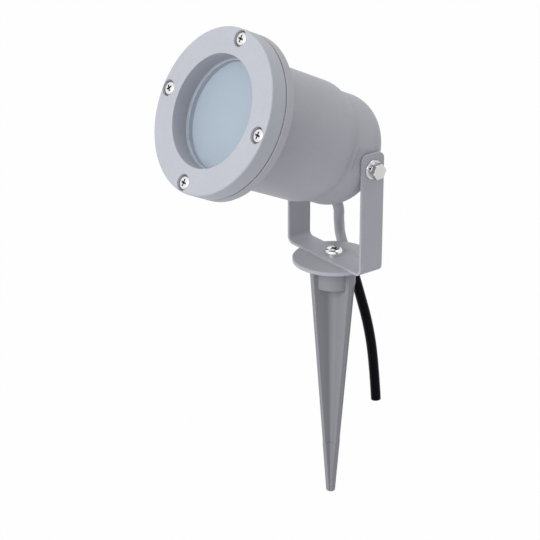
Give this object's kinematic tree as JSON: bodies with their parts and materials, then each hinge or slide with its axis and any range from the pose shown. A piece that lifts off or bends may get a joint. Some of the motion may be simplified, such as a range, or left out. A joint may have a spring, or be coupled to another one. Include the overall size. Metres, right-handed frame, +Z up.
{
  "type": "garden spike spotlight",
  "caption": "Tilting die-cast spotlight with frosted round glass and screwed bezel, on a strap bracket that swivels on a ribbed ground spike.",
  "frame": {"origin": "centre of the underside of the spike's flange, which is the ground line", "axes": "+Z up along the spike and the swivel axis, X along the tilt axis, the head faces -Y"},
  "size_m": [0.09, 0.1533, 0.2926],
  "materials": {
    "cast_body": "matte",
    "cast_bezel": "matte",
    "painted_strap": "matte",
    "plated_bolts": "satin",
    "bright_screws": "satin",
    "plain_steel": "satin",
    "dark_rubber": "matte",
    "frosted_glass": "satin",
    "lamp_shell": "gloss",
    "lamp_front": "gloss",
    "brass": "satin",
    "ceramic": "satin",
    "terminal_plastic": "matte",
    "black_cord": "satin",
    "grey_sleeve": "satin",
    "brown_core": "gloss",
    "blue_core": "gloss",
    "earth_core": "gloss",
    "lead_sleeve": "matte",
    "spike_plastic": "matte"
  },
  "bodies": {
    "spike": {"ground_spike": "spike_plastic", "swivel_insert": "brass", "swivel_screw": "plated_bolts"},
    "bracket": {"u_bracket": "painted_strap", "cord_upper": "grey_sleeve", "cord_lower": "black_cord"},
    "head": {"head_housing": "cast_body", "front_bezel": "cast_bezel", "bezel_screws": "bright_screws", "bezel_gasket": "dark_rubber", "lens_glass": "frosted_glass", "lens_seal": "dark_rubber", "lamp_body": "lamp_shell", "lamp_lens": "lamp_front", "lamp_pins": "brass", "lamp_holder": "ceramic", "holder_contacts": "brass", "holder_screws": "bright_screws", "holder_strap": "plain_steel", "strap_screws": "bright_screws", "tilt_bolts": "plated_bolts", "tilt_flat_washers": "plated_bolts", "tilt_spring_washers": "plain_steel", "tilt_friction_washers": "dark_rubber", "cord_bush": "dark_rubber", "cord_clamp": "terminal_plastic", "clamp_screws": "plain_steel", "cord_sheath_end": "black_cord", "core_live": "brown_core", "core_neutral": "blue_core", "core_earth": "earth_core", "earth_tag": "brass", "earth_screw": "plain_steel", "terminal_block": "terminal_plastic", "terminal_screws": "brass", "terminal_fixing": "plain_steel", "holder_leads": "lead_sleeve"}
  },
  "joints": [
    {"name": "swivel", "type": "hinge", "parent": "spike", "child": "bracket", "pos_m": [0, 0, 0.0022], "axis": [0, 0, 1], "range_deg": [-180, 180]},
    {"name": "tilt", "type": "hinge", "parent": "bracket", "child": "head", "pos_m": [0, 0, 0.0636], "axis": [-1, 0, 0], "range_deg": [-36, 64], "deforming": ["cord_upper"]}
  ]
}
